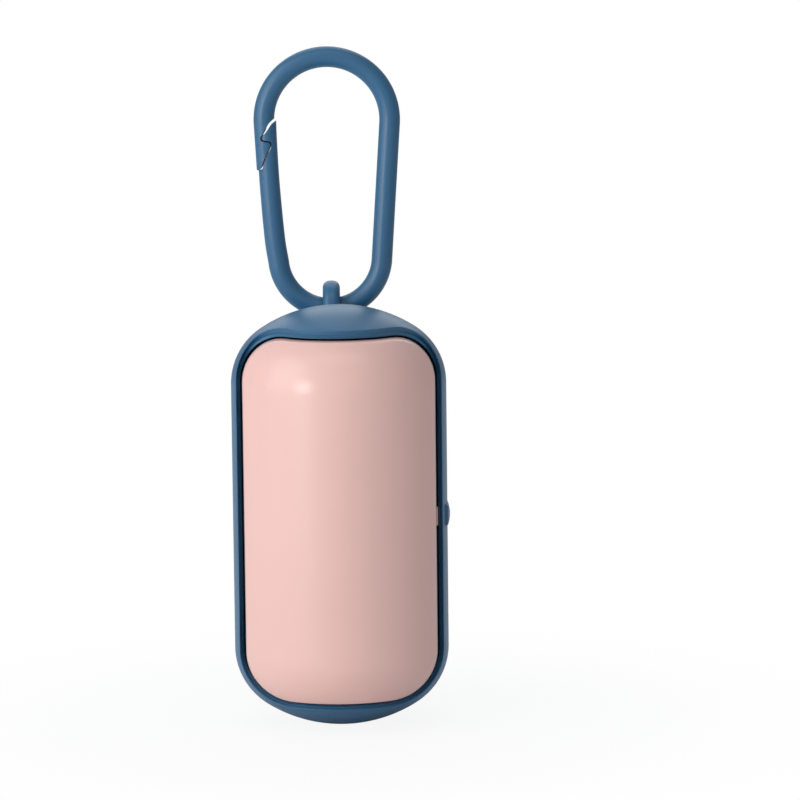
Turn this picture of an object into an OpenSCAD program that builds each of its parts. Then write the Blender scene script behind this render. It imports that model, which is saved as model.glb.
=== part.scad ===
// Pocket dispenser for rolls of dog waste bags.
// A capsule-shaped shell stands on a small flat foot, its front is a hinged cover,
// and a one-piece carabiner hangs in an eye on top.
// Origin: centre of the foot. +Z up, the cover faces -Y, +X to the right.

/* [Body] */
// Height of the body, from the foot to the top of the dome
body_h = 84; // [82:0.5:90]
// Outer diameter of the body
body_d = 43; // [42.6:0.1:44]
// Thickness of the shell wall
shell_wall = 2; // [1.6:0.1:2.2]
// Radius of the flat crown of each dome
crown_r = 28.3; // [28.2:0.1:28.8]
// Radius of the shoulder between the crown and the straight side
shoulder_r = 13.1; // [13:0.1:13.3]
// Diameter of the flat foot
foot_d = 10.6; // [8:0.2:12]

/* [Front cover] */
// Distance of the cover's side edges from the body's sides
cover_side = 2.4; // [2.3:0.05:2.6]
// Height of the cover's lower edge
cover_z0 = 7; // [6.5:0.1:8]
// Distance of the cover's upper edge below the top of the body
cover_top = 5.4; // [5:0.1:6.5]
// Corner radius of the cover, seen from the front
cover_corner_r = 9; // [8:0.2:10]
// Thickness of the cover
cover_wall = 1.6; // [1.4:0.1:1.8]
// Depth of the cover's face below the shell's outer surface
cover_inset = 0.4; // [0.3:0.05:0.5]
// Gap between the cover and the shell, seen from the front
cover_gap = 0.45; // [0.35:0.05:0.45]
// Depth behind the axis line to which the opening is cut
opening_back = 6; // [5.8:0.1:6.1]
// Width of the step that runs round the opening
rim_step_w = 0.9; // [0.7:0.05:0.95]
// Depth of the step that runs round the opening
rim_step_depth = 1; // [0.9:0.05:1.1]

/* [Cover hinge] */
// Radius of the barrel along the cover's left edge
barrel_r = 1.5; // [1.45:0.05:1.6]
// Depth of the hinge line below the body's outer surface
hinge_depth = 2.2; // [2.15:0.05:2.3]
// Diameter of the hinge pins
hinge_pin_d = 1.2; // [1:0.1:1.2]
// Length of each hinge pin
hinge_pin_l = 8; // [7:0.5:10]
// Distance of each hinge ear's middle from the end of the barrel
ear_inset = 4; // [3.5:0.5:8]
// Thickness of each hinge ear
ear_t = 2.4; // [2:0.1:3]
// Radius of the round end of each hinge ear
ear_r = 1.05; // [1:0.05:1.05]
// Clearance between a turning hinge part and its pin
hinge_clear = 0.06; // [0.04:0.01:0.08]

/* [Latch] */
// Height of the latch's middle
latch_z = 42; // [38:0.5:46]
// Height of the button's pad
button_h = 4.1; // [3.6:0.1:5]
// Length of the button's pad, from front to back
button_l = 9.2; // [8:0.2:9.4]
// How far the button's pad stands out of the shell
button_proud = 0.5; // [0.3:0.1:0.8]
// Travel of the button
button_travel = 0.8; // [0.6:0.1:0.8]
// Clearance round the button's pad
button_clear = 0.2; // [0.15:0.05:0.25]
// Outer diameter of the latch spring
spring_d = 4; // [3:0.2:4.6]
// Wire diameter of the latch spring
spring_wire = 0.35; // [0.25:0.05:0.4]
// Height of the tongue on the cover
tongue_h = 3.7; // [3:0.1:3.9]
// Depth of the tongue below the body's outer surface
tongue_depth = 1; // [0.9:0.05:1.1]

/* [Bag outlet] */
// Height of the outlet's middle
outlet_z = 42; // [38:0.5:46]
// Height of the outlet's opening
outlet_h = 26; // [20:1:32]
// Width of the outlet's opening
outlet_w = 5.4; // [5:0.1:7]
// Thickness of the soft lip round the outlet, seen from behind
lip_t = 1.6; // [1.2:0.1:2]
// How far the lip stands out of the shell
lip_proud = 0.5; // [0.3:0.1:0.8]

/* [Roll] */
// Gap between the full roll of bags and the seat of the latch spring
roll_clear = 0.8; // [0.6:0.1:3]
// Play of the roll between the spindle's end discs, at each end
roll_play = 0.1; // [0.1:0.1:0.5]
// Outer diameter of the card tube
core_d = 12.6; // [12:0.2:14]
// Wall of the card tube
core_wall = 1; // [0.8:0.1:1.2]
// Diameter of the spindle's shaft
shaft_d = 10; // [9:0.2:10.2]
// Diameter of the spindle's journals
journal_d = 4; // [3:0.2:5]
// Running clearance round the spindle's journals
journal_clear = 0.08; // [0.05:0.01:0.1]
// Diameter of the spindle's end discs
disc_d = 20; // [16:0.5:22]
// Thickness of the spindle's end discs
disc_t = 1.2; // [1:0.1:1.4]
// Thickness of each shelf that carries the spindle
shelf_t = 2; // [1.6:0.1:2.4]
// Height of the lower shelf
lower_shelf_z = 8.8; // [8.5:0.1:10]
// Distance of the upper shelf's upper face below the top of the body
upper_shelf_drop = 8; // [7.5:0.1:10]
// Gap between a turning end disc and its shelf
shelf_gap = 0.3; // [0.2:0.05:0.4]

/* [Eye and carabiner] */
// Sideways place of the eye
eye_x = -1.25; // [-1.25:0.25:1]
// Distance of the eye's middle in from the back of the body
eye_inset = 4.9; // [4.4:0.1:5.1]
// Depth of the eye's middle below the top of the body
eye_drop = 2.5; // [1.6:0.1:2.6]
// Outer radius of the eye
eye_r = 5.6; // [5.4:0.1:6]
// Thickness of the eye
eye_t = 3.5; // [3:0.1:4]
// Radius on the edges of the eye
eye_edge_r = 1.3; // [0.8:0.1:1.4]
// Diameter of the carabiner's rod
rod_d = 4.2; // [3.8:0.1:4.2]
// Gap between the rod and the eye
rod_gap = 0.35; // [0.3:0.05:0.5]
// Radius of the rod's centre line at the lower bend
lower_bend_r = 10.5; // [9:0.1:12]
// Radius of the rod's centre line at the upper bend
upper_bend_r = 12.7; // [11:0.1:14]
// Distance between the centres of the two bends
bend_spacing = 27.8; // [26:0.1:34]
// Sideways lean of the carabiner in its eye, in degrees
carabiner_lean = 0.7; // [0:0.1:1]
// Gap at the snap between the gate and the nose
snap_gap = 0.35; // [0.3:0.05:0.4]

/* [Hidden] */
$fn = 64;
far = 60;
tiny = 0.01;
// How far a cutting shape reaches past what it cuts
over = 1;
blue = [0.26, 0.44, 0.58];
dark_blue = [0.2, 0.36, 0.5];
deep_blue = [0.16, 0.27, 0.37];
pink = [0.91, 0.74, 0.71];
off_white = [0.93, 0.93, 0.9];
brown = [0.72, 0.6, 0.45];
pale = [0.86, 0.89, 0.88];

// Body profile
body_r = body_d / 2;
foot_cut = crown_r - sqrt(crown_r * crown_r - foot_d * foot_d / 4);
capsule_h = body_h + foot_cut;
shoulder_x = body_r - shoulder_r;
shoulder_t = crown_r - sqrt(pow(crown_r - shoulder_r, 2) - pow(shoulder_x, 2));
crown_angle = asin(shoulder_x / (crown_r - shoulder_r));
inner_r = body_r - shell_wall;
eye_y = body_r - eye_inset;
eye_z = body_h - eye_drop;

// Cover and hinge
cover_w = body_d - 2 * cover_side;
cover_z1 = body_h - cover_top;
hinge_axis_r = body_r - hinge_depth;
cover_back_gap = 0.2;
rim_step_back = 0.4;
cover_back = opening_back + cover_back_gap;
barrel_x = barrel_r - cover_w / 2;
barrel_y = -sqrt(hinge_axis_r * hinge_axis_r - barrel_x * barrel_x);
barrel_z0 = cover_z0 + cover_corner_r;
barrel_z1 = cover_z1 - cover_corner_r;
lower_ear_z = barrel_z0 + ear_inset;
upper_ear_z = barrel_z1 - ear_inset;
ear_clear = 0.25;
ear_knee = [barrel_x + 2, barrel_y + 1.9];
ear_sunk = 0.3;
ear_root = [-inner_r + ear_sunk, -1];
ear_neck_r = 0.8;
ear_tip_r = 0.9 * ear_neck_r;
ear_root_r = 1.4 * ear_neck_r;

// Latch
pad_inner_x = body_r - shell_wall + button_travel;
pad_r = body_r + button_proud;
flange_gap = 0.9;
flange_x = inner_r - flange_gap;
flange_t = 0.7;
flange_y = 2;
flange_w = 6.4;
flange_over = 1;
stem_y = 2.2;
stem_w = 4.6;
spring_x0 = flange_x - flange_t;
spring_l = 2;
seat_t = 0.6;
seat_x = spring_x0 - spring_l - seat_t;
seat_leg = 1.4;
seat_side = 0.2;
seat_room = 0.6;
seat_h = button_h + 2 * flange_over + 2 * seat_room;
stem_clear = 0.4;
slot_depth = 0.6;
tongue_root = 1.6;
tongue_out = 0.8;
tongue_back = 0.4;
tongue_y = -cover_back + tongue_back;
notch_clear = 0.3;
notch_end = 0.4;
notch_y = tongue_y + notch_clear;
catch_y = 2.8;
catch_t = 1.2;
catch_h = 2.6;
catch_inset = 0.9;
catch_depth = cover_inset + cover_wall / 4;
catch_x = cover_w / 2 - catch_inset;

// Roll
roll_d = 2 * (seat_x - roll_clear);
shelf_z0 = lower_shelf_z;
shelf_z1 = body_h - upper_shelf_drop - shelf_t;
disc_z0 = shelf_z0 + shelf_t + shelf_gap;
disc_z1 = shelf_z1 - shelf_gap - disc_t;
roll_z0 = disc_z0 + disc_t + roll_play;
roll_h = disc_z1 - roll_play - roll_z0;
shelf_lip = 2.5;
shelf_front = journal_d / 2 + shelf_lip;
film_clear = 0.1;
journal_l = shelf_t + shelf_gap;
plug_d = 6;
plug_l = 6;
plug_clear = 0.06;
plug_end = 0.3;

// Carabiner
rod_r = rod_d / 2;
leg_angle = asin((upper_bend_r - lower_bend_r) / bend_spacing);
leg_l = bend_spacing * cos(leg_angle);
leg_end = 0.1;
knuckle = 0.04;
pivot_gap = 0.3;
// Zigzag of the snap, seen from the front: [distance in from the outer face of the leg,
// distance down from the top of the leg]
snap_line = [[4.6, -0.9], [3.0, 1.1], [1.2, 4.0], [2.9, 4.7], [3.2, 5.6], [1.2, 9.6], [-0.4, 9.9]];
snap_drop = -0.2;
// How far the gate's outline reaches past the sides and the tip of its leg
snap_side = 0.4;
snap_tip = 0.9;

// Half outline of one end of the capsule, sunk by inset, with its tip at the origin
module end_outline(inset) {
    wedge = 1.3 * crown_r;
    intersection() {
        translate([0, crown_r]) circle(r = crown_r - inset);
        polygon([[0, crown_r], [0, crown_r - wedge],
                 [wedge * sin(crown_angle), crown_r - wedge * cos(crown_angle)]]);
    }
    intersection() {
        translate([shoulder_x, shoulder_t]) circle(r = shoulder_r - inset);
        polygon([[shoulder_x, shoulder_t],
                 [shoulder_x + wedge * sin(crown_angle), shoulder_t - wedge * cos(crown_angle)],
                 [shoulder_x + wedge, shoulder_t - wedge], [shoulder_x + wedge, shoulder_t]]);
    }
}

// The body's solid shape, sunk by inset all round, before the foot is cut
module capsule(inset) {
    translate([0, 0, -foot_cut]) rotate_extrude() {
        end_outline(inset);
        translate([0, capsule_h]) mirror([0, 1]) end_outline(inset);
        translate([0, shoulder_t]) square([body_r - inset, capsule_h - 2 * shoulder_t]);
    }
}

// Front outline of the cover grown by grow, as a block from the front to y = -back
module front_block(grow, back) {
    half_w = cover_w / 2 + grow;
    corner = cover_corner_r + grow;
    z0 = cover_z0 - grow;
    z1 = cover_z1 + grow;
    translate([0, -back, 0]) rotate([90, 0, 0]) linear_extrude(far) hull()
        for (x = [corner - half_w, half_w - corner], z = [z0 + corner, z1 - corner])
            translate([x, z]) circle(r = corner, $fn = 96);
}

// Upright slot with round ends in the back wall, of width w and overall height h
module outlet_slot(w, h, y0, y1) {
    translate([0, y1, outlet_z]) rotate([90, 0, 0]) linear_extrude(y1 - y0) {
        square([w, h - w], center = true);
        for (z = [w - h, h - w])
            translate([0, z / 2]) circle(r = w / 2);
    }
}

// Shelf with a U-shaped bearing, open to the front
module shelf(z0) {
    bearing_r = journal_d / 2 + journal_clear;
    difference() {
        intersection() {
            capsule(shell_wall - tiny);
            translate([-far, -shelf_front, z0]) cube([2 * far, far, shelf_t]);
        }
        translate([0, 0, z0 - over]) cylinder(r = bearing_r, h = shelf_t + 2 * over);
        translate([-bearing_r, -far, z0 - over]) cube([2 * bearing_r, far, shelf_t + 2 * over]);
    }
}

// Hooked ear that reaches from the shell's wall to the hinge line
module hinge_ear(z) {
    translate([0, 0, z - ear_t / 2]) difference() {
        linear_extrude(ear_t) {
            translate([barrel_x, barrel_y]) circle(r = ear_r);
            hull() {
                translate([barrel_x, barrel_y]) circle(r = ear_tip_r);
                translate(ear_knee) circle(r = ear_neck_r);
            }
            hull() {
                translate(ear_knee) circle(r = ear_neck_r);
                translate(ear_root) circle(r = ear_root_r);
            }
        }
        translate([barrel_x, barrel_y, -over]) cylinder(d = hinge_pin_d, h = ear_t + 2 * over);
    }
}

// Bridge behind the button, on which the latch spring stands
module spring_seat() {
    difference() {
        intersection() {
            capsule(shell_wall - tiny);
            translate([seat_x, flange_y - flange_w / 2 - seat_side, latch_z - seat_h / 2 - seat_leg])
                cube([far, flange_w + 2 * seat_side, seat_h + 2 * seat_leg]);
        }
        translate([seat_x + seat_t, -far, latch_z - seat_h / 2]) cube([far, 2 * far, seat_h]);
    }
}

// Round section of the eye's ring, at the ring's radius
module eye_section() {
    inner = rod_r + rod_gap;
    width = eye_r - inner;
    translate([inner, -eye_t / 2 + eye_edge_r]) square([width, eye_t - 2 * eye_edge_r]);
    translate([inner + eye_edge_r, -eye_t / 2]) square([width - 2 * eye_edge_r, eye_t]);
    for (r = [inner + eye_edge_r, eye_r - eye_edge_r], x = [-1, 1])
        translate([r, x * (eye_t / 2 - eye_edge_r)]) circle(r = eye_edge_r);
}

module eye() {
    translate([eye_x, eye_y, eye_z]) rotate([0, 90, 0]) rotate_extrude() eye_section();
}

module rear_shell() {
    notch_h = tongue_h + 2 * notch_clear;
    slot_l = button_l + 2 * button_clear;
    slot_h = button_h + 2 * button_clear;
    color(blue) difference() {
        union() {
            difference() {
                union() {
                    capsule(0);
                    eye();
                }
                capsule(shell_wall);
                translate([0, 0, -far]) cylinder(r = far, h = far);
                front_block(cover_gap, opening_back);
                difference() {
                    front_block(cover_gap + rim_step_w, rim_step_back);
                    capsule(rim_step_depth);
                }
                outlet_slot(outlet_w + 2 * lip_t, outlet_h + 2 * lip_t, body_r / 2, far);
            }
            shelf(shelf_z0);
            shelf(shelf_z1);
            hinge_ear(lower_ear_z);
            hinge_ear(upper_ear_z);
            spring_seat();
        }
        translate([flange_x - slot_depth, -slot_l / 2, latch_z - slot_h / 2])
            cube([far, slot_l, slot_h]);
        translate([cover_w / 2 - tongue_root - notch_clear, notch_y - far, latch_z - notch_h / 2])
            cube([tongue_root + tongue_out + notch_clear + notch_end, far, notch_h]);
    }
}

module hinge_barrel() {
    translate([barrel_x, barrel_y, barrel_z0]) cylinder(r = barrel_r, h = barrel_z1 - barrel_z0);
}

// Room that a hinge ear needs in the cover
module ear_room(z) {
    h = ear_t + 2 * ear_clear;
    translate([barrel_x, barrel_y, z - h / 2]) {
        cylinder(r = ear_r + ear_clear, h = h);
        translate([-far, 0, 0]) cube([far + barrel_r, far, h]);
    }
}

module front_cover() {
    color(pink) difference() {
        union() {
            difference() {
                intersection() {
                    capsule(cover_inset);
                    front_block(0, cover_back);
                }
                capsule(cover_inset + cover_wall);
                translate([-far, barrel_y, 0]) cube([far + barrel_x, far, body_h]);
            }
            hinge_barrel();
            intersection() {
                translate([cover_w / 2 - tongue_root, tongue_y - far, latch_z - tongue_h / 2])
                    cube([tongue_out + tongue_root, far, tongue_h]);
                capsule(tongue_depth);
            }
            intersection() {
                translate([catch_x - catch_t, -far - catch_y, latch_z - catch_h / 2])
                    cube([catch_t, far, catch_h]);
                capsule(catch_depth);
            }
        }
        translate([barrel_x, barrel_y, 0]) cylinder(r = hinge_pin_d / 2 + hinge_clear, h = body_h);
        ear_room(lower_ear_z);
        ear_room(upper_ear_z);
    }
}

module hinge_pin(z) {
    translate([barrel_x, barrel_y, z - hinge_pin_l / 2]) cylinder(d = hinge_pin_d, h = hinge_pin_l);
}

module hinge_pin_lower() {
    color("silver") hinge_pin(lower_ear_z);
}

module hinge_pin_upper() {
    color("silver") hinge_pin(upper_ear_z);
}

module latch_button() {
    flange_h = button_h + 2 * flange_over;
    color(dark_blue) union() {
        intersection() {
            cylinder(r = pad_r, h = body_h);
            translate([pad_inner_x, -button_l / 2, latch_z - button_h / 2])
                cube([far, button_l, button_h]);
        }
        translate([flange_x - tiny, stem_y - stem_w / 2, latch_z - button_h / 2 + stem_clear])
            cube([pad_inner_x - flange_x + 2 * tiny, stem_w, button_h - 2 * stem_clear]);
        translate([spring_x0, flange_y - flange_w / 2, latch_z - flange_h / 2])
            cube([flange_t, flange_w, flange_h]);
    }
}

module latch_spring() {
    color("silver") translate([spring_x0 - spring_l, flange_y, latch_z]) rotate([0, 90, 0])
        difference() {
            cylinder(d = spring_d, h = spring_l);
            translate([0, 0, -over]) cylinder(d = spring_d - 2 * spring_wire, h = spring_l + 2 * over);
        }
}

// Soft lip that lines the bag outlet
module outlet_lip() {
    color(deep_blue) difference() {
        intersection() {
            outlet_slot(outlet_w + 2 * lip_t, outlet_h + 2 * lip_t, 0, far);
            difference() {
                cylinder(r = body_r + lip_proud, h = body_h);
                translate([0, 0, -over]) cylinder(r = inner_r, h = body_h + 2 * over);
            }
        }
        outlet_slot(outlet_w, outlet_h, 0, far);
    }
}

module spindle() {
    color(off_white) difference() {
        union() {
            translate([0, 0, disc_z0 - journal_l]) cylinder(d = journal_d, h = journal_l + tiny);
            translate([0, 0, disc_z0]) cylinder(d = disc_d, h = disc_t);
            translate([0, 0, disc_z0]) cylinder(d = shaft_d, h = disc_z1 - disc_z0);
        }
        translate([0, 0, disc_z1 - plug_l - plug_end]) cylinder(d = plug_d + plug_clear, h = plug_l + over);
    }
}

module spindle_cap() {
    color(off_white) union() {
        translate([0, 0, disc_z1 - plug_l]) cylinder(d = plug_d, h = plug_l + tiny);
        translate([0, 0, disc_z1]) cylinder(d = disc_d, h = disc_t);
        translate([0, 0, disc_z1 + disc_t - tiny]) cylinder(d = journal_d, h = journal_l + tiny);
    }
}

module roll_tube(outer_d, inner_d) {
    translate([0, 0, roll_z0]) difference() {
        cylinder(d = outer_d, h = roll_h);
        translate([0, 0, -over]) cylinder(d = inner_d, h = roll_h + 2 * over);
    }
}

module roll_core() {
    color(brown) roll_tube(core_d, core_d - 2 * core_wall);
}

module bag_roll() {
    color(pale) roll_tube(roll_d, core_d + film_clear);
}

// Places what is drawn in the carabiner's plane: x across, y up from the rod's centre at the eye
module in_carabiner_plane() {
    translate([eye_x, eye_y, eye_z]) rotate([0, -carabiner_lean, 0]) rotate([90, 0, 0]) children();
}

// One straight leg of the loop, on the side given by side = -1 or 1
module loop_leg(side) {
    translate([side * lower_bend_r * cos(leg_angle), lower_bend_r - lower_bend_r * sin(leg_angle), 0])
        rotate([-90, 0, 0]) rotate([0, side * leg_angle, 0]) {
            translate([0, 0, leg_end]) cylinder(r = rod_r, h = leg_l - 2 * leg_end);
            sphere(r = rod_r + knuckle);
            translate([0, 0, leg_l]) sphere(r = rod_r + knuckle);
        }
}

// Bend of the loop round a centre at height h, over the given span of angles
module loop_bend(r, h, start, span) {
    translate([0, h, 0]) rotate([0, 0, start]) rotate_extrude(angle = span)
        translate([r, 0]) circle(r = rod_r);
}

module loop() {
    loop_bend(lower_bend_r, lower_bend_r, 180 + leg_angle, 180 - 2 * leg_angle);
    loop_bend(upper_bend_r, lower_bend_r + bend_spacing, -leg_angle, 180 + 2 * leg_angle);
    loop_leg(-1);
    loop_leg(1);
}

// Flat outline of the flexing gate, grown by grow along the snap and by pivot_grow at its root
module gate_outline(grow, pivot_grow) {
    top = [-upper_bend_r * cos(leg_angle), lower_bend_r + bend_spacing - upper_bend_r * sin(leg_angle)];
    root = [-lower_bend_r * cos(leg_angle), lower_bend_r - lower_bend_r * sin(leg_angle)];
    translate(root) circle(r = rod_r + pivot_grow);
    offset(delta = grow) translate(top) rotate(leg_angle) polygon(concat(
        [for (p = snap_line) [p[0] - rod_r, -p[1] - snap_drop]],
        [[-rod_r - snap_side, -leg_l], [rod_r + snap_side, -leg_l], [rod_r + snap_side, snap_tip]]));
}

module carabiner_hook() {
    color(blue) in_carabiner_plane() difference() {
        loop();
        translate([0, 0, -rod_d]) linear_extrude(2 * rod_d) gate_outline(snap_gap / 2, pivot_gap);
    }
}

module carabiner_gate() {
    color(blue) in_carabiner_plane() intersection() {
        loop();
        translate([0, 0, -rod_d]) linear_extrude(2 * rod_d) gate_outline(-snap_gap / 2, 0);
    }
}

rear_shell();
front_cover();
hinge_pin_lower();
hinge_pin_upper();
latch_button();
latch_spring();
outlet_lip();
spindle();
spindle_cap();
roll_core();
bag_roll();
carabiner_hook();
carabiner_gate();
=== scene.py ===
import math

import bpy
import bmesh
from mathutils import Matrix, Vector
from mathutils.geometry import convex_hull_2d


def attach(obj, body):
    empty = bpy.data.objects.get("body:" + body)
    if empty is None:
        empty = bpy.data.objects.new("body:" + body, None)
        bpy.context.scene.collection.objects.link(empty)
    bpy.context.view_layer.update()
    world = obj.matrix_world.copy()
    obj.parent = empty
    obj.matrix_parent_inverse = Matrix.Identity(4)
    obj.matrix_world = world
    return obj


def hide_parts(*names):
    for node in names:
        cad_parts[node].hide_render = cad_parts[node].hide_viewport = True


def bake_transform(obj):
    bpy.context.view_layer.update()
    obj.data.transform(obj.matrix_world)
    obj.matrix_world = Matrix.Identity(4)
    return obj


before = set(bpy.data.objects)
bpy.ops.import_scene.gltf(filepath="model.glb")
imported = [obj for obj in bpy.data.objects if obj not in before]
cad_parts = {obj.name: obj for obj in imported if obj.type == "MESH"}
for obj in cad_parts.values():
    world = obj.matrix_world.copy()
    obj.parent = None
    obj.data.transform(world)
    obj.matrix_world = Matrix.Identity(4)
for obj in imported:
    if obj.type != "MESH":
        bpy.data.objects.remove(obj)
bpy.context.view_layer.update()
scene = bpy.context.scene

# ---------------------------------------------------------------- camera
# The photograph's view: almost level, from the front, through a long lens.
IMAGE_PX = 800
FOCAL_PX = 4416.0
SENSOR_MM = 36.0
TARGET = Vector((0, 0, 0.042))
TARGET_PX = (340.3, 513.0)
ELEVATION = math.radians(9.07)
ROLL = math.radians(0.74)
DISTANCE = 0.886


def make_camera():
    up = Vector((0, math.sin(ELEVATION), math.cos(ELEVATION)))
    right = Vector((1, 0, 0))
    back = Vector((0, -math.cos(ELEVATION), math.sin(ELEVATION)))
    rolled_right = right * math.cos(ROLL) - up * math.sin(ROLL)
    rolled_up = up * math.cos(ROLL) + right * math.sin(ROLL)
    facing = Matrix((rolled_right, rolled_up, back)).transposed()
    half = IMAGE_PX / 2
    seen = Vector((TARGET_PX[0] - half, half - TARGET_PX[1], -FOCAL_PX)).normalized()
    turn = seen.rotation_difference(Vector((0, 0, -1))).to_matrix()
    data = bpy.data.cameras.new("camera")
    data.sensor_width = SENSOR_MM
    data.lens = FOCAL_PX / IMAGE_PX * SENSOR_MM
    data.clip_start, data.clip_end = 0.01, 50
    camera = bpy.data.objects.new("camera", data)
    camera.matrix_world = Matrix.Translation(TARGET + back * DISTANCE) @ (facing @ turn).to_4x4()
    scene.collection.objects.link(camera)
    scene.camera = camera


make_camera()

# ---------------------------------------------------------------- sizes, in millimetres
# They are the CAD model's, except the cover's height, corners and barrel, its tongue, and the rim and the gap
BODY_H, BODY_R, WALL = 84.0, 21.5, 2.0
CROWN_R, SHOULDER_R, FOOT_D = 28.3, 13.1, 10.6
FOOT_CUT = CROWN_R - math.sqrt(CROWN_R ** 2 - FOOT_D ** 2 / 4)
SHOULDER_X = BODY_R - SHOULDER_R
SHOULDER_T = CROWN_R - math.sqrt((CROWN_R - SHOULDER_R) ** 2 - SHOULDER_X ** 2)
CROWN_A = math.asin(SHOULDER_X / (CROWN_R - SHOULDER_R))
INNER_R = BODY_R - WALL
COVER_HALF, COVER_Z0, COVER_Z1, COVER_CORNER, COVER_TOP_CORNER = 19.1, 6.45, 78.38, 9.2, 8.7
COVER_INSET, COVER_WALL, COVER_BACK, COVER_EDGE = 0.4, 1.6, 6.2, 0.32
OPENING_GAP, OPENING_BACK, RIM_W, RIM_TOP_W, RIM_DEPTH = 0.45, 6.0, 0.83, 1.52, 1.0
# The gap behind the rim widens by UNDERCUT, from one depth below the rim to the other, over a sloping ledge
UNDERCUT, UNDERCUT_DEPTH, GROOVE_DEPTH, LEDGE_IN = 0.6, 1.6, 1.8, 0.9
HINGE = (-17.6, -math.sqrt(19.3 ** 2 - 17.6 ** 2))
BARREL_R, BARREL_Z0, BARREL_Z1 = 1.45, 16.0, 69.0
EAR_Z, EAR_T, EAR_R, EAR_CLEAR, EAR_NECK = (20.0, 65.6), 2.4, 1.05, 0.25, 0.8
PIN_R, PIN_CLEAR = 0.6, 0.06
LATCH_Z, PAD_H, PAD_L, PAD_IN, PAD_R = 42.0, 4.1, 9.2, 20.3, 22.0
PAD_CLEAR, PAD_EDGE, PAD_CORNER = 0.2, 0.3, 0.35
STEM_Y, STEM_HALF_H = (-0.1, 4.5), 1.65
FLANGE_X, FLANGE_T, FLANGE_Y, FLANGE_W, FLANGE_H = 18.6, 0.7, 2.0, 6.4, 6.1
SPRING_X0, SPRING_L, SPRING_R, WIRE_R = 17.9, 2.0, 2.0, 0.17
SPRING_TURNS, SPRING_FLAT_TURNS, SPRING_PLAY = 4.2, 0.8, 0.01
SEAT_X, SEAT_T, SEAT_LEG, SEAT_H, SEAT_ROOM = 15.3, 0.6, 1.4, 7.3, 0.2
TONGUE_H, TONGUE_Y, TONGUE_OUT, TONGUE_ROOT = 3.7, (-5.6, -4.9), 0.35, 0.9
CATCH_X, CATCH_Y, CATCH_Z, CATCH_INSET = (17.0, 18.2), -2.8, (40.7, 43.3), 0.8
SLOT_W, SLOT_H, SLOT_Z, SLOT_BACK, LIP_T, LIP_R = 5.4, 26.0, 42.0, 10.0, 1.6, 22.0
SHELF_Z, SHELF_T, SHELF_FRONT, JOURNAL_R, JOURNAL_CLEAR = (8.8, 74.0), 2.0, 4.5, 2.0, 0.08
ROLL_R, ROLL_Z0, ROLL_H, CORE_R = 14.5, 12.4, 60.0, 6.3
ROLL_LAYERS, LAYER_STEP, ROLL_SKIN = 34, 0.14, 0.12
EYE = (-1.25, 16.6, 81.5)
EYE_R, EYE_IN, EYE_T, EYE_EDGE = 5.6, 2.45, 3.5, 1.45
ROD_R, LOW_R, HIGH_R, SPACING, LEAN = 2.1, 10.5, 12.7, 27.8, math.radians(0.7)
# FAR reaches past the whole body. SUNK and OVER are how far joined pieces reach into each other
FAR, SUNK, OVER = 40.0, 0.05, 1.0


# ---------------------------------------------------------------- mesh helpers
def new_object(name, verts, faces):
    """A mesh object whose vertices are still in millimetres."""
    mesh = bpy.data.meshes.new(name)
    mesh.from_pydata([tuple(map(float, v)) for v in verts], [], faces)
    mesh.validate()
    bm = bmesh.new()
    bm.from_mesh(mesh)
    bmesh.ops.remove_doubles(bm, verts=bm.verts, dist=1e-5)
    bmesh.ops.recalc_face_normals(bm, faces=bm.faces)
    bm.to_mesh(mesh)
    bm.free()
    obj = bpy.data.objects.new(name, mesh)
    scene.collection.objects.link(obj)
    return obj


def loft(name, loops, cap_start=True, cap_end=True, ring=False):
    """Joins closed loops of equal length. Ends are capped by one face, or joined to each other for a ring."""
    n = len(loops[0])
    verts = [p for loop in loops for p in loop]
    faces = []
    count = len(loops)
    for i in range(count if ring else count - 1):
        j = (i + 1) % count
        for k in range(n):
            m = (k + 1) % n
            faces.append((i * n + k, i * n + m, j * n + m, j * n + k))
    if cap_start and not ring:
        faces.append(tuple(range(n - 1, -1, -1)))
    if cap_end and not ring:
        faces.append(tuple((count - 1) * n + k for k in range(n)))
    return new_object(name, verts, faces)


def revolve(name, profile, seg=256):
    """A closed solid turned round Z from (radius, height) points, whose ends may lie on the axis."""
    loops = []
    for r, z in profile:
        loops.append([(r * math.cos(2 * math.pi * k / seg), r * math.sin(2 * math.pi * k / seg), z)
                      for k in range(seg)])
    return loft(name, loops)


def revolve_ring(name, profile, seg=192):
    """A ring turned round Z from a closed (radius, height) outline."""
    loops = [[(r * math.cos(2 * math.pi * k / seg), r * math.sin(2 * math.pi * k / seg), z) for r, z in profile]
             for k in range(seg)]
    return loft(name, loops, ring=True)


def box(name, lo, hi):
    x0, y0, z0 = lo
    x1, y1, z1 = hi
    return loft(name, [[(x0, y0, z), (x1, y0, z), (x1, y1, z), (x0, y1, z)] for z in (z0, z1)])


def prism(name, outline, z0, z1):
    return loft(name, [[(x, y, z) for x, y in outline] for z in (z0, z1)])


def cylinder(name, centre, r, z0, z1, seg=64):
    return prism(name, [(centre[0] + r * math.cos(2 * math.pi * k / seg),
                         centre[1] + r * math.sin(2 * math.pi * k / seg)) for k in range(seg)], z0, z1)


def combine(a, b, operation):
    """Boolean of a with b, kept in a. b is used up."""
    modifier = a.modifiers.new("cut", "BOOLEAN")
    modifier.operation, modifier.object, modifier.solver = operation, b, "MANIFOLD"
    graph = bpy.context.evaluated_depsgraph_get()
    result = bpy.data.meshes.new_from_object(a.evaluated_get(graph))
    if not result.polygons:
        print("EMPTY after", operation, a.name, b.name)
    a.modifiers.clear()
    a.data = result
    bpy.data.objects.remove(b)
    return a


def cut(a, b):
    return combine(a, b, "DIFFERENCE")


def join(a, b):
    return combine(a, b, "UNION")


def common(a, b):
    return combine(a, b, "INTERSECT")


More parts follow.
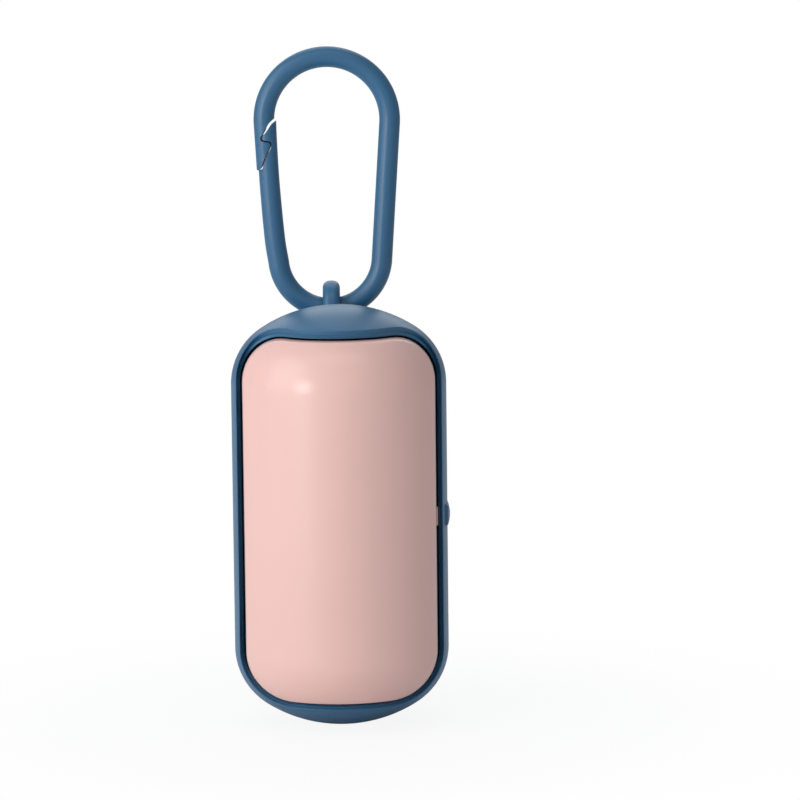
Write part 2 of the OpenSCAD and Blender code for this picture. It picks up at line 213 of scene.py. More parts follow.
def finish_mesh(obj, material, body, nodes=(), sharp=28, matrix=None):
    """Scales to metres, places, shades and hands a piece to the frame."""
    if matrix is not None:
        obj.data.transform(matrix)
    obj.data.transform(Matrix.Scale(0.001, 4))
    mesh = obj.data
    for polygon in mesh.polygons:
        polygon.use_smooth = True
    mesh.set_sharp_from_angle(angle=math.radians(sharp))
    mesh.materials.clear()
    mesh.materials.append(material)
    if body:
        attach(obj, body)
    if nodes:
        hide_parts(*nodes)
    return obj


# ---------------------------------------------------------------- body surface
def end_profile(inset, fine):
    """Half outline of one end, from its tip, as (radius, distance from the tip)."""
    points = []
    for i in range(fine):
        a = CROWN_A * i / fine
        points.append(((CROWN_R - inset) * math.sin(a), CROWN_R - (CROWN_R - inset) * math.cos(a)))
    for i in range(fine + 1):
        a = CROWN_A + (math.pi / 2 - CROWN_A) * i / fine
        points.append((SHOULDER_X + (SHOULDER_R - inset) * math.sin(a),
                       SHOULDER_T - (SHOULDER_R - inset) * math.cos(a)))
    return points


def capsule(inset, fine=26, seg=256, belt=14):
    end = end_profile(inset, fine)
    profile = [(r, h - FOOT_CUT) for r, h in end]
    z0, z1 = SHOULDER_T - FOOT_CUT, BODY_H - SHOULDER_T
    profile += [(BODY_R - inset, z0 + (z1 - z0) * i / belt) for i in range(1, belt)]
    profile += [(r, BODY_H - h) for r, h in reversed(end)]
    return revolve("capsule", profile, seg)


def body_radius(z, inset):
    """Radius of the body's surface, sunk by inset, at height z."""
    h = min(z + FOOT_CUT, BODY_H - z)
    seam = CROWN_R - (CROWN_R - inset) * math.cos(CROWN_A)
    if h >= SHOULDER_T:
        return BODY_R - inset
    if h >= seam:
        return SHOULDER_X + math.sqrt(max((SHOULDER_R - inset) ** 2 - (SHOULDER_T - h) ** 2, 0))
    return math.sqrt(max((CROWN_R - inset) ** 2 - (CROWN_R - h) ** 2, 0))


def front_y(x, z, inset):
    return -math.sqrt(max(body_radius(z, inset) ** 2 - x * x, 0))


def cover_outline(grow, corner_n=40, side_n=56, top_n=28):
    """Front outline of the cover as (x, z) points, each moved outwards by grow(rise of its outward direction)."""
    half, low, top = COVER_HALF, COVER_CORNER, COVER_TOP_CORNER
    z0, z1 = COVER_Z0, COVER_Z1
    corners = [(half - top, z1 - top, top), (top - half, z1 - top, top), (low - half, z0 + low, low),
               (half - low, z0 + low, low)]
    points = []

    def add(x, z, a):
        g = grow(math.sin(a))
        points.append((x + g * math.cos(a), z + g * math.sin(a)))

    for q, (cx, cz, corner) in enumerate(corners):
        for i in range(corner_n):
            a = math.pi / 2 * (q + i / corner_n)
            add(cx + corner * math.cos(a), cz + corner * math.sin(a), a)
        a = math.pi / 2 * (q + 1)
        start = (cx + corner * math.cos(a), cz + corner * math.sin(a))
        nx, nz, following = corners[(q + 1) % 4]
        end = (nx + following * math.cos(a), nz + following * math.sin(a))
        n = top_n if q % 2 == 0 else side_n
        for i in range(n):
            add(start[0] + (end[0] - start[0]) * i / n, start[1] + (end[1] - start[1]) * i / n, a)
    return points


def outline_loop(grow, y_of):
    """Loop of points over the cover's outline. Grow is a length, or a function of the direction's rise."""
    reach = grow if callable(grow) else lambda rise: grow
    return [(x, y_of(x, z), z) for x, z in cover_outline(reach)]


def rim_reach(share):
    """How far a line of the rim lies outside the cover, as a share of the rim's width, which is larger on top."""
    return lambda rise: OPENING_GAP + share * (RIM_W + (RIM_TOP_W - RIM_W) * max(rise, 0) ** 2)


# Lines of the rim from the gap to the body's surface: share of the rim's width, depth below the body's
# surface as a share of RIM_DEPTH, and how far the line is set back. A low ridge lies between two slopes.
RIM_LINES = [(0.0, 1.0, 0.55), (0.05, 1.0, 0.45), (0.3, 0.8, 0.06), (0.34, 0.76, 0.01), (0.38, 0.74, 0.0),
             (0.44, 0.75, 0.0), (0.5, 0.71, 0.0), (0.65, 0.497, 0.0), (0.8, 0.284, 0.0), (0.93, 0.0994, 0.0),
             (0.985, 0.045, 0.0), (1.03, 0.008, 0.0), (1.1, -0.012, 0.0)]


def opening_cutter():
    """What is cut out of the shell for the cover: the opening, the wider gap behind the rim, and the rim."""
    wide = OPENING_GAP + UNDERCUT
    loops = [outline_loop(-LEDGE_IN, lambda x, z: -OPENING_BACK),
             outline_loop(wide, lambda x, z: max(-OPENING_BACK, front_y(x, z, RIM_DEPTH) + GROOVE_DEPTH)),
             outline_loop(wide, lambda x, z: front_y(x, z, RIM_DEPTH) + UNDERCUT_DEPTH)]
    for share, depth, back in RIM_LINES:
        loops.append(outline_loop(rim_reach(share), lambda x, z: front_y(x, z, depth * RIM_DEPTH) + back))
    loops.append(outline_loop(rim_reach(RIM_LINES[-1][0]), lambda x, z: -FAR))
    return loft("opening", loops)


def slot_outline(grow, n=24):
    """Upright slot with round ends, as (x, z) points, grown by grow."""
    r = SLOT_W / 2 + grow
    top, low = SLOT_Z + (SLOT_H - SLOT_W) / 2, SLOT_Z - (SLOT_H - SLOT_W) / 2
    points = [(r * math.cos(math.pi * i / n), top + r * math.sin(math.pi * i / n)) for i in range(n)]
    points += [(-r, top + (low - top) * i / n) for i in range(n)]
    points += [(r * math.cos(math.pi * (1 + i / n)), low + r * math.sin(math.pi * (1 + i / n))) for i in range(n)]
    points += [(r, low + (top - low) * i / n) for i in range(n)]
    return points


def hull_of_circles(parts, n=32):
    points = []
    for (cx, cy), r in parts:
        points += [(cx + r * math.cos(2 * math.pi * k / n), cy + r * math.sin(2 * math.pi * k / n))
                   for k in range(n)]
    return [points[i] for i in convex_hull_2d([Vector(p) for p in points])]


def eye_ring():
    """Ring of the eye, round on its edges, standing on its rim in the plane across the body."""
    section = []
    outer, inner, half, steps = EYE_R - EYE_EDGE, EYE_IN + EYE_EDGE, EYE_T / 2 - EYE_EDGE, 12
    for cx, cy, a0 in ((outer, half, 0), (inner, half, 90), (inner, -half, 180), (outer, -half, 270)):
        for i in range(steps + 1):
            a = math.radians(a0 + 90 * i / steps)
            section.append((cx + EYE_EDGE * math.cos(a), cy + EYE_EDGE * math.sin(a)))
    ring = revolve_ring("eye", section, seg=128)
    ring.data.transform(Matrix.Translation(EYE) @ Matrix.Rotation(math.pi / 2, 4, "Y"))
    return ring


def inside_of_shell():
    """What fills the shell's cavity and reaches a little into its wall."""
    return capsule(WALL - SUNK, fine=18, seg=192, belt=8)


def add_shelves(shell):
    """Shelves that carry the spindle's journals, each with its entry from the front."""
    reach = JOURNAL_R + JOURNAL_CLEAR
    for z in SHELF_Z:
        low, high = z - OVER, z + SHELF_T + OVER
        shelf = common(box("shelf", (-FAR, -SHELF_FRONT, z), (FAR, FAR, z + SHELF_T)), inside_of_shell())
        cut(shelf, cylinder("journal", (0, 0), reach, low, high))
        cut(shelf, box("entry", (-reach, -FAR, low), (reach, 0, high)))
        join(shell, shelf)


def add_ears(shell):
    """Ears that hold the hinge pins: a round end, a neck and a root in the shell's wall."""
    knee, root = (HINGE[0] + 2, HINGE[1] + 1.9), (0.3 - INNER_R, -1)
    for z in EAR_Z:
        for parts in ([(HINGE, EAR_R)], [(HINGE, EAR_NECK * 0.9), (knee, EAR_NECK)],
                      [(knee, EAR_NECK), (root, EAR_NECK * 1.4)]):
            join(shell, prism("ear", hull_of_circles(parts), z - EAR_T / 2, z + EAR_T / 2))
        cut(shell, cylinder("pin_hole", HINGE, PIN_R, z - EAR_T, z + EAR_T))


def add_seat(shell):
    """Bracket behind the button, on which its spring rests."""
    y0, y1 = FLANGE_Y - FLANGE_W / 2 - SEAT_ROOM, FLANGE_Y + FLANGE_W / 2 + SEAT_ROOM
    z0, z1 = LATCH_Z - SEAT_H / 2, LATCH_Z + SEAT_H / 2
    seat = common(box("seat", (SEAT_X, y0, z0 - SEAT_LEG), (FAR, y1, z1 + SEAT_LEG)), inside_of_shell())
    cut(seat, box("seat_room", (SEAT_X + SEAT_T, -FAR, z0), (FAR, FAR, z1)))
    join(shell, seat)


def make_shell():
    shell = capsule(0)
    join(shell, eye_ring())
    cut(shell, capsule(WALL, fine=18, seg=192, belt=8))
    cut(shell, box("foot", (-FAR, -FAR, -FAR), (FAR, FAR, 0)))
    cut(shell, opening_cutter())
    cut(shell, loft("slot", [[(x, y, z) for x, z in slot_outline(LIP_T)] for y in (SLOT_BACK, FAR)]))
    add_shelves(shell)
    add_ears(shell)
    add_seat(shell)
    half_l, half_h = PAD_L / 2 + PAD_CLEAR, PAD_H / 2 + PAD_CLEAR
    behind_flange = FLANGE_X - FLANGE_T + 0.1
    cut(shell, box("pad_slot", (behind_flange, -half_l, LATCH_Z - half_h), (FAR, half_l, LATCH_Z + half_h)))
    shell.name = "shell_body"
    return shell


# ---------------------------------------------------------------- cover
def cover_surface(loops, inset, grow, steps=30, back=False):
    """Adds loops that close in on the cover's middle line over a sunk body surface."""
    outline = cover_outline(lambda rise: grow)
    lo, hi = COVER_Z0 + COVER_HALF, COVER_Z1 - COVER_HALF
    inner = []
    for i in range(steps + 1):
        u = i / steps
        inner.append([(x * (1 - u), 0, z + (min(max(z, lo), hi) - z) * u) for x, z in outline])
    inner = [[(x, front_y(x, z, inset), z) for x, _, z in loop] for loop in inner]
    return inner + loops if back else loops + inner


def make_cover():
    edge, edge_steps, back_steps = COVER_EDGE, 6, 20
    loops = []
    for i in range(edge_steps + 1):
        a = math.pi / 2 * i / edge_steps
        shrink, sunk = edge * (1 - math.cos(a)), edge * (1 - math.sin(a))
        loops.append(outline_loop(-shrink, lambda x, z: front_y(x, z, COVER_INSET + sunk)))
    loops = cover_surface(loops, COVER_INSET, -edge - 0.02)
    loops = cover_surface(loops, COVER_INSET + COVER_WALL, 0, steps=back_steps, back=True)
    inner_first = loops[:back_steps + 1][::-1]
    cover = loft("cover_panel", inner_first + loops[back_steps + 1:], cap_start=False, cap_end=False)
    cut(cover, box("back", (-FAR, -COVER_BACK, -FAR), (FAR, FAR, 2 * BODY_H)))
    # Beyond the hinge line, only what turns clear of the ledge stays
    turning = cylinder("hinge_turn", HINGE, -COVER_BACK - HINGE[1], -FAR - OVER, 2 * BODY_H + OVER)
    cut(cover, cut(box("hinge_side", (-FAR, HINGE[1], -FAR), (HINGE[0], FAR, 2 * BODY_H)), turning))
    join(cover, cylinder("barrel", HINGE, BARREL_R, BARREL_Z0, BARREL_Z1))
    # The tongue: its root behind the cover's edge, then its tip, which lies deeper in the gap
    for x1, y0 in ((COVER_HALF - SUNK, -COVER_BACK - 0.3), (COVER_HALF + TONGUE_OUT, TONGUE_Y[0])):
        join(cover, box("tongue", (COVER_HALF - TONGUE_ROOT, y0, LATCH_Z - TONGUE_H / 2),
                        (x1, TONGUE_Y[1], LATCH_Z + TONGUE_H / 2)))
    join(cover, common(box("catch", (CATCH_X[0], -FAR, CATCH_Z[0]), (CATCH_X[1], CATCH_Y, CATCH_Z[1])),
                       capsule(CATCH_INSET, fine=12, seg=192, belt=4)))
    cut(cover, cylinder("pin_bore", HINGE, PIN_R + PIN_CLEAR, BARREL_Z0 - 2, BARREL_Z1 + 2))
    for z in EAR_Z:
        h = EAR_T / 2 + EAR_CLEAR
        cut(cover, cylinder("ear_turn", HINGE, EAR_R + EAR_CLEAR, z - h, z + h))
        cut(cover, box("ear_room", (-FAR, HINGE[1], z - h), (HINGE[0] + BARREL_R, FAR, z + h)))
    cover.name = "cover_panel"
    return cover


# ---------------------------------------------------------------- latch
def make_button():
    half_y, half_z, face_steps, edge_steps, corner_steps = PAD_L / 2, PAD_H / 2, 8, 5, 8

    def ring(shrink, sunk, at=None):
        """Outline of the pad, shrunk by shrink, at x = at or on the pad's face, sunk by sunk."""
        points = []
        hy, hz, r = half_y - shrink, half_z - shrink, max(PAD_CORNER - shrink, 0.05)
        for q, (sy, sz) in enumerate(((1, 1), (-1, 1), (-1, -1), (1, -1))):
            for i in range(corner_steps + 1):
                a = math.pi / 2 * (q + i / corner_steps)
                y, z = sy * (hy - r) + r * math.cos(a), sz * (hz - r) + r * math.sin(a)
                x = at if at is not None else math.sqrt((PAD_R - sunk) ** 2 - y * y)
                points.append((x, y, LATCH_Z + z))
        return points

    loops = [ring(0, 0, PAD_IN)]
    for i in range(edge_steps + 1):
        a = math.pi / 2 * i / edge_steps
        loops.append(ring(PAD_EDGE * (1 - math.cos(a)), PAD_EDGE * (1 - math.sin(a))))
    face = ring(PAD_EDGE, 0)
    for k in range(1, face_steps):
        s = 1 - k / face_steps
        loops.append([(math.sqrt(PAD_R ** 2 - (y * s) ** 2), y * s, LATCH_Z + (z - LATCH_Z) * s)
                      for _, y, z in face])
    pad = loft("button_pad", loops)
    join(pad, box("stem", (FLANGE_X - 0.01, STEM_Y[0], LATCH_Z - STEM_HALF_H),
                  (PAD_IN + 0.02, STEM_Y[1], LATCH_Z + STEM_HALF_H)))
    join(pad, box("flange", (FLANGE_X - FLANGE_T, FLANGE_Y - FLANGE_W / 2, LATCH_Z - FLANGE_H / 2),
                  (FLANGE_X, FLANGE_Y + FLANGE_W / 2, LATCH_Z + FLANGE_H / 2)))
    return pad


def sweep(name, points, radius, binormal=None, seg=12, radii=None):
    """A closed round tube along points. Every ring stands square to the path."""
    points = [Vector(p) for p in points]
    n = len(points)
    loops = []
    normal = None
    for i, p in enumerate(points):
        tangent = (points[min(i + 1, n - 1)] - points[max(i - 1, 0)]).normalized()
        if binormal is not None:
            side = Vector(binormal)
        else:
            if normal is None:
                normal = tangent.orthogonal().normalized()
            normal = (normal - tangent * normal.dot(tangent)).normalized()
            side = normal
        other = tangent.cross(side).normalized()
        r = radii[i] if radii else radius
        loops.append([p + (side * math.cos(2 * math.pi * k / seg) + other * math.sin(2 * math.pi * k / seg)) * r
                      for k in range(seg)])
    return loft(name, loops)


def make_spring():
    """Coil spring whose first and last turns lie flat."""
    steps, mean = 40, SPRING_R - WIRE_R
    x0 = SPRING_X0 - SPRING_L + WIRE_R + SPRING_PLAY
    length = SPRING_L - 2 * (WIRE_R + SPRING_PLAY)
    points = []
    total = int(SPRING_TURNS * steps)
    for i in range(total + 1):
        t = i / total
        climb = (t * SPRING_TURNS - SPRING_FLAT_TURNS) / (SPRING_TURNS - 2 * SPRING_FLAT_TURNS)
        rise = min(max(climb, 0), 1)
        a = 2 * math.pi * SPRING_TURNS * t
        points.append((x0 + length * rise, FLANGE_Y + mean * math.cos(a), LATCH_Z + mean * math.sin(a)))
    return sweep("spring_coil", points, WIRE_R, seg=10)


# ---------------------------------------------------------------- outlet lip
def make_lip():
    """Soft rim in the outlet, with a rounded face. Its section is (growth of the slot, radius from the body's axis)."""
    face = [(0, -0.55), (0.06, -0.3), (0.2, -0.12), (0.42, -0.02), (0.65, 0), (0.95, 0), (1.2, -0.03), (1.42, -0.14),
            (1.55, -0.3), (LIP_T, -0.5)]
    section = [(0, INNER_R)] + [(grow, LIP_R + sunk) for grow, sunk in face] + [(LIP_T, INNER_R)]
    loops = []
    for grow, r in section:
        loops.append([(x, math.sqrt(r * r - x * x), z) for x, z in slot_outline(grow)])
    return loft("outlet_rim", loops, ring=True)


# ---------------------------------------------------------------- roll and spindle
def make_roll():
    """Wound bags: their layers show on both ends, and the outside is slightly uneven."""
    z0, z1 = ROLL_Z0, ROLL_Z0 + ROLL_H
    core, outer, tip, play, side_steps = CORE_R + 0.05, ROLL_R - ROLL_SKIN, 0.4, 0.02, 60
    ring = [(core + (outer - core) * k / ROLL_LAYERS, LAYER_STEP if k % 2 else 0.0) for k in range(ROLL_LAYERS + 1)]
    low = [(r, z0 + d + play) for r, d in ring]
    top = [(r, z1 - d - play) for r, d in ring]
    side = [(outer + 0.05 * math.sin(i * 1.9) * math.sin(i * 0.37),
             z0 + tip + (ROLL_H - 2 * tip) * i / side_steps) for i in range(side_steps + 1)]
    return revolve_ring("bag_winding", low + side + top[::-1], seg=160)


def make_flap():
    """Loose end of the outermost bag, lying on the roll."""
    loops = []
    z0, z1 = ROLL_Z0 + 1.0, ROLL_Z0 + ROLL_H - 1.0
    start, turn, film, steps = -126, 62, 0.1, 26
    for i in range(steps + 1):
        a = math.radians(start + turn * i / steps)
        outer = ROLL_R - 0.05 + 0.16 * (i / steps) ** 3 + 0.03 * math.sin(i * 0.9)
        inner = outer - film
        loops.append([(r * math.cos(a), r * math.sin(a), z)
                      for r, z in ((inner, z0), (outer, z0), (outer, z1), (inner, z1))])
    return loft("bag_flap", loops)


def make_spindle():
    """Journal, plate and shaft with the socket for the cap, as (radius, height)."""
    return revolve("spindle_shaft", [
        (0, 8.8), (1.7, 8.8), (2.0, 9.1), (2.0, 11.1), (9.75, 11.1), (10.0, 11.35), (10.0, 12.05), (9.75, 12.3),
        (5.0, 12.3), (5.0, 72.4), (3.06, 72.4), (3.06, 66.3), (0, 66.3)], seg=96)


def make_cap():
    """Plug, plate and journal, as (radius, height)."""
    return revolve("spindle_top", [
        (0, 66.6), (2.8, 66.6), (3.0, 66.8), (3.0, 72.5), (9.75, 72.5), (10.0, 72.75), (10.0, 73.45), (9.75, 73.7),
        (2.0, 73.7), (2.0, 75.7), (1.7, 76.0), (0, 76.0)], seg=96)


# ---------------------------------------------------------------- carabiner
LEG_A = math.asin((HIGH_R - LOW_R) / SPACING)
HIGH_Y = LOW_R + SPACING
# Middle of the snap's gap, seen from the front, from the upper bend's centre
SNAP = [(-9.4, 0.95), (-10.5, 0.35), (-11.5, -0.5), (-12.3, -1.75), (-13.15, -2.95), (-13.35, -3.45),
        (-13.0, -3.85), (-11.9, -4.05), (-11.4, -4.45), (-11.5, -5.2), (-12.1, -6.4), (-12.6, -7.5),
        (-13.2, -9.0), (-13.55, -9.7), (-14.0, -10.05), (-15.4, -10.15)]
SNAP_GAP, SNAP_GAP_TOP = 0.3, 0.52
# How far the gap runs sideways and up over each millimetre of depth: level with the line of sight at the
# top, where light shows through it, and aslant below
SNAP_SIGHT, SNAP_ASLANT = (0.0, 0.074), (-0.16, -0.12)
SNAP_FRONT, SNAP_REACH = 1.7, 4
# The gap changes from sight to aslant between these heights
SNAP_TURN_TOP, SNAP_TURN_H = -1.2, 1.4
NOSE_A = math.radians(2.4)
# Middle line of the sprung leg, from the upper bend's centre, down to its own lower bend
GATE_LINE = [(-12.22, 1.6), (-12.2, -1.0), (-12.15, -4.0), (-12.05, -8.0), (-11.9, -12.0), (-11.68, -16.0),
             (-11.38, -20.5), (-11.0, -25.0)]
GATE_THINNER = 0.1


def smooth_line(points, n=6):
    """Catmull-Rom curve through points."""
    p = [points[0]] + list(points) + [points[-1]]
    out = []
    for i in range(1, len(p) - 2):
        for k in range(n):
            t = k / n
            out.append(tuple(0.5 * (2 * b + (c - a) * t + (2 * a - 5 * b + 4 * c - d) * t * t
                                    + (3 * b - a - 3 * c + d) * t ** 3)
                             for a, b, c, d in zip(p[i - 1], p[i], p[i + 1], p[i + 2])))
    out.append(tuple(points[-1]))
    return out


def shifted(line, distances):
    """The line moved sideways, to its left as it runs, by a distance for each point."""
    out = []
    for i, distance in enumerate(distances):
        a, b = Vector(line[max(i - 1, 0)]), Vector(line[min(i + 1, len(line) - 1)])
        d = (b - a).normalized()
        out.append((line[i][0] - d.y * distance, line[i][1] + d.x * distance))
    return out


def snap_region(side, depth):
    """Plan of the gate's side of the snap (side = 1) or of the hook's (side = -1), with the gap."""
    line = smooth_line(SNAP)
    aslant = [min(max((SNAP_TURN_TOP - y) / SNAP_TURN_H, 0), 1) for _, y in line]
    line = shifted(line, [-side * (SNAP_GAP_TOP + (SNAP_GAP - SNAP_GAP_TOP) * t) / 2 for t in aslant])
    deep = depth - SNAP_FRONT
    line = [(x + deep * (SNAP_SIGHT[0] * (1 - t) + SNAP_ASLANT[0] * t),
             HIGH_Y + y + deep * (SNAP_SIGHT[1] * (1 - t) + SNAP_ASLANT[1] * t))
            for (x, y), t in zip(line, aslant)]
    if side > 0:
        # Below and inside the line
        closing = [(-18, line[-1][1]), (-18, -8), (-6, -8), (-6, line[0][1])]
    else:
        # Above and outside the line
        closing = [(-20, line[-1][1]), (-20, 60), (-4, 60), (-4, line[0][1])]
    return line + closing


def arc(cx, cy, r, a0, a1, n):
    return [(cx + r * math.cos(a0 + (a1 - a0) * i / n), cy + r * math.sin(a0 + (a1 - a0) * i / n))
            for i in range(n + 1)]


def carabiner_matrix():
    """Stands the carabiner, drawn flat from its lower bend's bottom, in the eye."""
    return Matrix.Translation(EYE) @ Matrix.Rotation(-LEAN, 4, "Y") @ Matrix.Rotation(math.pi / 2, 4, "X")


def make_hook():
    """Lower bend, right leg, upper bend and nose in one tube."""
    path = arc(0, LOW_R, LOW_R, -math.pi / 2, -LEG_A, 40)
    top = arc(0, HIGH_Y, HIGH_R, -LEG_A, math.pi + NOSE_A, 96)
    (x0, y0), (x1, y1), steps = path[-1], top[0], 20
    leg = [(x0 + (x1 - x0) * i / steps, y0 + (y1 - y0) * i / steps) for i in range(1, steps)]
    end = top[-1]
    nose = [(end[0] + math.sin(NOSE_A) * d, end[1] - math.cos(NOSE_A) * d) for d in (1, 2, 4, 6, 8, 10, 12)]
    points = [(x, y, 0) for x, y in path + leg + top + nose]
    return sweep("carabiner_loop", points, ROD_R, binormal=(0, 0, 1), seg=48)


def make_gate():
    """Sprung left leg and its half of the lower bend, slightly thinner towards the tip."""
    bend = arc(0, LOW_R, LOW_R, math.pi + LEG_A, 1.5 * math.pi, 40)
    fine = 6
    line = smooth_line([(x, HIGH_Y + y) for x, y in GATE_LINE] + bend[:3], n=fine)[:-fine] + bend[1:]
    radii = []
    for _, y in line:
        t = min(max((y - LOW_R) / (SPACING - 4), 0), 1)
        radii.append(ROD_R - GATE_THINNER * t)
    return sweep("carabiner_spring_leg", [(x, y, 0) for x, y in line], ROD_R, binormal=(0, 0, 1), seg=48,
                 radii=radii)


def snap_block(side, name):
    """Block that cuts away one side of the snap."""
    return loft(name, [[(x, y, z) for x, y in snap_region(side, z)] for z in (-SNAP_REACH, SNAP_REACH)])


# ---------------------------------------------------------------- materials
def principled(name):
    material = bpy.data.materials.new(name)
    material.use_nodes = True
    nodes = material.node_tree.nodes
    return material, nodes, material.node_tree.links, nodes["Principled BSDF"]


def noise_node(nodes, links, scale, detail, rough=0.5):
    coords = nodes.new("ShaderNodeTexCoord")
    node = nodes.new("ShaderNodeTexNoise")
    node.inputs["Scale"].default_value = scale
    node.inputs["Detail"].default_value = detail
    node.inputs["Roughness"].default_value = rough
    links.new(coords.outputs["Object"], node.inputs["Vector"])
    return node.outputs["Fac"]


def ramp(nodes, links, source, low, high, target):
    """Colour ramp from low to high over the middle of a noise."""
    node = nodes.new("ShaderNodeValToRGB")
    first, last = node.color_ramp.elements
    first.position, last.position = 0.3, 0.7
    first.color, last.color = (*low, 1), (*high, 1)
    links.new(source, node.inputs["Fac"])
    links.new(node.outputs["Color"], target)


def bump(nodes, links, source, shader, strength, distance):
    """Relief of a noise, distance in metres."""
    node = nodes.new("ShaderNodeBump")
    node.inputs["Strength"].default_value = strength
    node.inputs["Distance"].default_value = distance
    links.new(source, node.inputs["Height"])
    links.new(node.outputs["Normal"], shader.inputs["Normal"])


def plastic(name, color, rough, vary=0.05, grain=0.02):
    """Moulded plastic: slow colour drift and a fine satin grain, grain in millimetres."""
    material, nodes, links, shader = principled(name)
    drift = noise_node(nodes, links, 45, 2.0)
    low = tuple(c * (1 - vary) for c in color)
    high = tuple(min(c * (1 + vary), 1) for c in color)
    ramp(nodes, links, drift, low, high, shader.inputs["Base Color"])
    fine = noise_node(nodes, links, 5200, 2.0, 0.6)
    ramp(nodes, links, fine, (rough[0],) * 3, (rough[1],) * 3, shader.inputs["Roughness"])
    bump(nodes, links, fine, shader, 0.35, grain * 0.001)
    return material


def metal(name, color, rough):
    """Drawn wire: fine variation of colour and gloss."""
    material, nodes, links, shader = principled(name)
    lines = noise_node(nodes, links, 6000, 2.0)
    ramp(nodes, links, lines, tuple(c * 0.85 for c in color), color, shader.inputs["Base Color"])
    ramp(nodes, links, lines, (rough,) * 3, (rough + 0.12,) * 3, shader.inputs["Roughness"])
    shader.inputs["Metallic"].default_value = 1.0
    return material


def card_material():
    material, nodes, links, shader = principled("raw_card")
    fibre = noise_node(nodes, links, 900, 4.0, 0.7)
    ramp(nodes, links, fibre, (0.33, 0.21, 0.12), (0.52, 0.37, 0.23), shader.inputs["Base Color"])
    shader.inputs["Roughness"].default_value = 0.9
    bump(nodes, links, fibre, shader, 0.6, 0.00005)
    return material


def film_material():
    material, nodes, links, shader = principled("wound_film")
    crease = noise_node(nodes, links, 260, 4.0, 0.6)
    ramp(nodes, links, crease, (0.5, 0.6, 0.58), (0.72, 0.8, 0.78), shader.inputs["Base Color"])
    ramp(nodes, links, crease, (0.28,) * 3, (0.5,) * 3, shader.inputs["Roughness"])
    bump(nodes, links, crease, shader, 0.5, 0.00012)
    return material


BLUE = plastic("blue_soft_plastic", (0.026, 0.115, 0.228), rough=(0.33, 0.42))
PINK = plastic("pink_soft_plastic", (0.8, 0.51, 0.46), rough=(0.27, 0.33), vary=0.012, grain=0.012)
BUTTON = plastic("button_plastic", (0.024, 0.105, 0.21), rough=(0.33, 0.42))
LIP = plastic("soft_lip", (0.02, 0.055, 0.11), rough=(0.6, 0.75), grain=0.03)
WHITE = plastic("white_plastic", (0.82, 0.82, 0.78), rough=(0.35, 0.45), vary=0.02)
STEEL = metal("drawn_steel", (0.62, 0.62, 0.64), 0.25)
CARD = card_material()
FILM = film_material()

# ---------------------------------------------------------------- the object
finish_mesh(make_shell(), BLUE, "shell", ["rear_shell"])
finish_mesh(make_cover(), PINK, "cover", ["front_cover"])
finish_mesh(make_button(), BUTTON, "button", ["latch_button"])
finish_mesh(make_lip(), LIP, "shell", ["outlet_lip"])
spring = finish_mesh(make_spring(), STEEL, None, ["latch_spring"], sharp=60)
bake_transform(spring)
finish_mesh(make_roll(), FILM, "roll", ["bag_roll"], sharp=60)
finish_mesh(make_flap(), FILM, "roll")
finish_mesh(make_spindle(), WHITE, "roll", ["spindle"])
finish_mesh(make_cap(), WHITE, "roll", ["spindle_cap"])

place = carabiner_matrix()
hook = cut(make_hook(), snap_block(1, "gate_room"))
finish_mesh(hook, BLUE, "carabiner", ["carabiner_hook"], matrix=place)
gate = cut(make_gate(), snap_block(-1, "nose_room"))
finish_mesh(gate, BLUE, None, ["carabiner_gate"], matrix=place)
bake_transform(gate)

for node, material in (("hinge_pin_lower", STEEL), ("hinge_pin_upper", STEEL), ("roll_core", CARD)):
    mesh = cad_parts[node].data
    mesh.materials.clear()
    mesh.materials.append(material)


# ---------------------------------------------------------------- floor, light and world
FLOOR_HALF, FLOOR_DROP, FLOOR_GREY = 6.0, 0.0002, 0.85
# Share of plain white that the camera sees of the floor: near the object, where its shadow lies, and far off
WHITE_NEAR, WHITE_FAR, NEAR_M, FAR_M = 0.9, 1.0, 0.02, 0.12
WHITE_LIGHT, BLUE_LIGHT = (1, 1, 1), (0.8, 0.92, 1.0)
# Panel lamps: name, azimuth, elevation, distance, (width, height), watts, tint
LAMPS = [("key", -62, 22, 1.0, (0.75, 1.1), 5.5, WHITE_LIGHT),
         ("strip", -38, 7, 1.1, (0.17, 0.34), 2.8, WHITE_LIGHT),
         ("front", 0, 18, 1.2, (1.2, 0.9), 1.3, WHITE_LIGHT),
         ("above", 180, 62, 0.9, (0.8, 0.5), 1.6, BLUE_LIGHT),
         ("above_front", 0, 62, 0.9, (0.7, 0.3), 0.9, WHITE_LIGHT),
         ("behind", 180, 28, 1.2, (1.0, 0.5), 2.2, BLUE_LIGHT)]


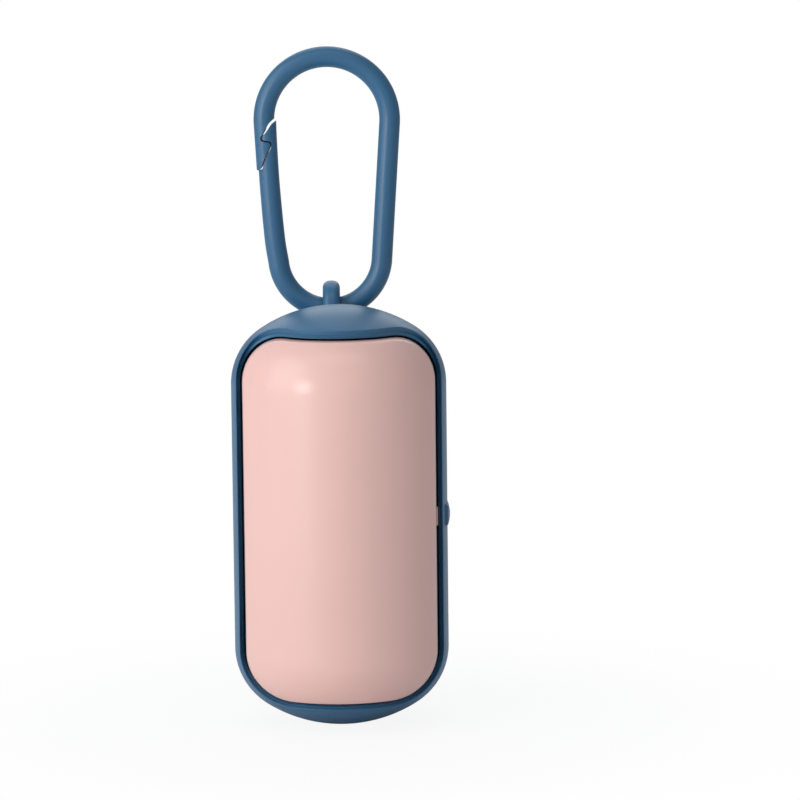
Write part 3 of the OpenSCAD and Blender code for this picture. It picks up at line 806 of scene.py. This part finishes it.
def make_floor():
    """Pale floor that the camera sees as almost white, with the object's shadow."""
    mesh = bpy.data.meshes.new("floor")
    h = FLOOR_HALF
    mesh.from_pydata([(-h, -h, 0), (h, -h, 0), (h, h, 0), (-h, h, 0)], [], [(0, 1, 2, 3)])
    floor = bpy.data.objects.new("floor", mesh)
    scene.collection.objects.link(floor)
    floor.location.z = -FLOOR_DROP
    material = bpy.data.materials.new("floor")
    material.use_nodes = True
    nodes, links = material.node_tree.nodes, material.node_tree.links
    nodes.clear()
    out = nodes.new("ShaderNodeOutputMaterial")
    diffuse = nodes.new("ShaderNodeBsdfDiffuse")
    diffuse.inputs["Color"].default_value = (FLOOR_GREY, FLOOR_GREY, FLOOR_GREY, 1)
    glow = nodes.new("ShaderNodeEmission")
    glow.inputs["Color"].default_value = (1, 1, 1, 1)
    glow.inputs["Strength"].default_value = 1.0
    path = nodes.new("ShaderNodeLightPath")
    coords = nodes.new("ShaderNodeTexCoord")
    far_off = nodes.new("ShaderNodeVectorMath")
    far_off.operation = "LENGTH"
    links.new(coords.outputs["Object"], far_off.inputs[0])
    fade = nodes.new("ShaderNodeMapRange")
    fade.interpolation_type = "SMOOTHSTEP"
    fade.inputs["From Min"].default_value = NEAR_M
    fade.inputs["From Max"].default_value = FAR_M
    fade.inputs["To Min"].default_value = WHITE_NEAR
    fade.inputs["To Max"].default_value = WHITE_FAR
    links.new(far_off.outputs["Value"], fade.inputs["Value"])
    share = nodes.new("ShaderNodeMath")
    share.operation = "MULTIPLY"
    links.new(path.outputs["Is Camera Ray"], share.inputs[0])
    links.new(fade.outputs["Result"], share.inputs[1])
    mix = nodes.new("ShaderNodeMixShader")
    links.new(share.outputs[0], mix.inputs[0])
    links.new(diffuse.outputs[0], mix.inputs[1])
    links.new(glow.outputs[0], mix.inputs[2])
    links.new(mix.outputs[0], out.inputs["Surface"])
    mesh.materials.append(material)


def make_world():
    """White to the camera, grey in reflections, and a weak, slightly blue light on everything."""
    world = bpy.data.worlds.new("world")
    scene.world = world
    world.use_nodes = True
    nodes, links = world.node_tree.nodes, world.node_tree.links
    nodes.clear()

    def background(color, strength):
        node = nodes.new("ShaderNodeBackground")
        node.inputs["Color"].default_value = (*color, 1)
        node.inputs["Strength"].default_value = strength
        return node

    def mix(share, first, second):
        node = nodes.new("ShaderNodeMixShader")
        links.new(path.outputs[share], node.inputs[0])
        links.new(first.outputs[0], node.inputs[1])
        links.new(second.outputs[0], node.inputs[2])
        return node

    path = nodes.new("ShaderNodeLightPath")
    soft, white, gloss = background((0.93, 0.96, 1.0), 0.3), background((1, 1, 1), 1.0), background((1, 1, 1), 0.4)
    shown = mix("Is Camera Ray", mix("Is Glossy Ray", soft, gloss), white)
    out = nodes.new("ShaderNodeOutputWorld")
    links.new(shown.outputs[0], out.inputs["Surface"])


def softbox(name, azimuth, elevation, distance, size, power, tint, at=(0, 0, 0.06)):
    """A panel lamp round the object. Azimuth 0 is in front and 90 on the right."""
    a, e = math.radians(azimuth), math.radians(elevation)
    toward = Vector((math.sin(a) * math.cos(e), -math.cos(a) * math.cos(e), math.sin(e)))
    data = bpy.data.lights.new(name, "AREA")
    data.shape = "RECTANGLE"
    data.size, data.size_y = size
    data.energy = power
    data.color = tint
    lamp = bpy.data.objects.new(name, data)
    lamp.location = toward * distance + Vector(at)
    lamp.rotation_euler = (Vector(at) - lamp.location).to_track_quat("-Z", "Y").to_euler()
    scene.collection.objects.link(lamp)


make_floor()
make_world()
for lamp_values in LAMPS:
    softbox(*lamp_values)

scene.view_settings.view_transform = "Standard"
